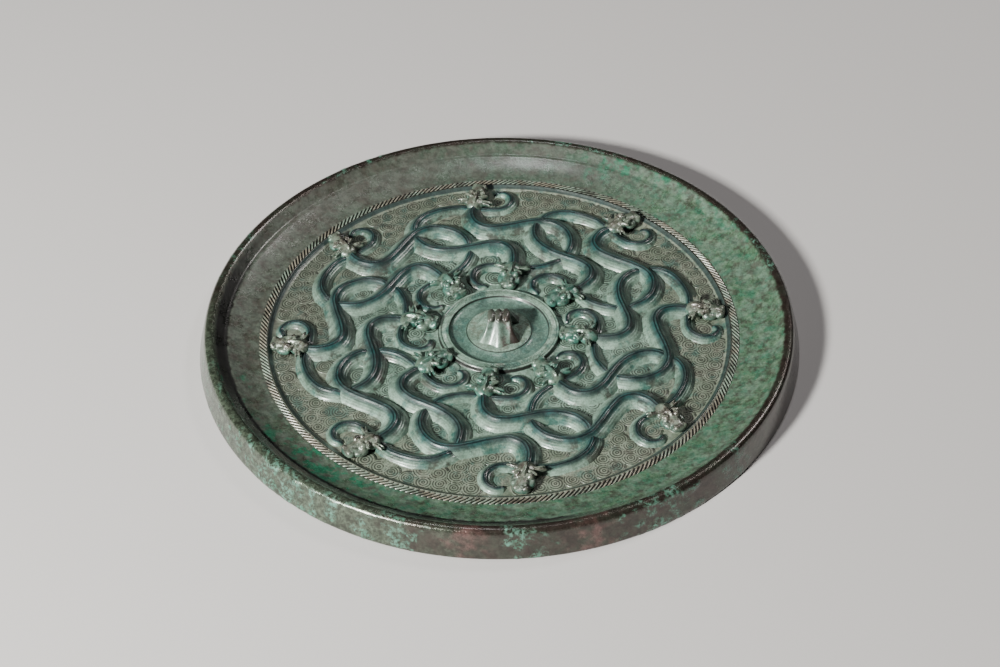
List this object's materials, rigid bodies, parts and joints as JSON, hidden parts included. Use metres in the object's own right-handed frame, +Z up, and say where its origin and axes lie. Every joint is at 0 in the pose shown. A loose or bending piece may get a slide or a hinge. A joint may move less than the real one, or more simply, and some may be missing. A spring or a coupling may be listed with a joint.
{
  "type": "bronze mirror",
  "caption": "Round cast bronze mirror, back up: raised lip and dished border, rope ring, woven serpents with beast heads, raised hub and a fluted bridge knob with a cord tunnel.",
  "frame": {"origin": "centre of the flat underside, which is the polished face", "axes": "+Z up through the knob, out of the decorated back; the cord tunnel runs along X and the knob spans along Y"},
  "size_m": [0.19, 0.19, 0.0106],
  "materials": {
    "bronze": "cast bronze under pale verdigris, with teal in the recesses, brown smooth metal on the lip and crusted green on the wall"
  },
  "bodies": {
    "root": {"mirror": "bronze"}
  },
  "joints": []
}
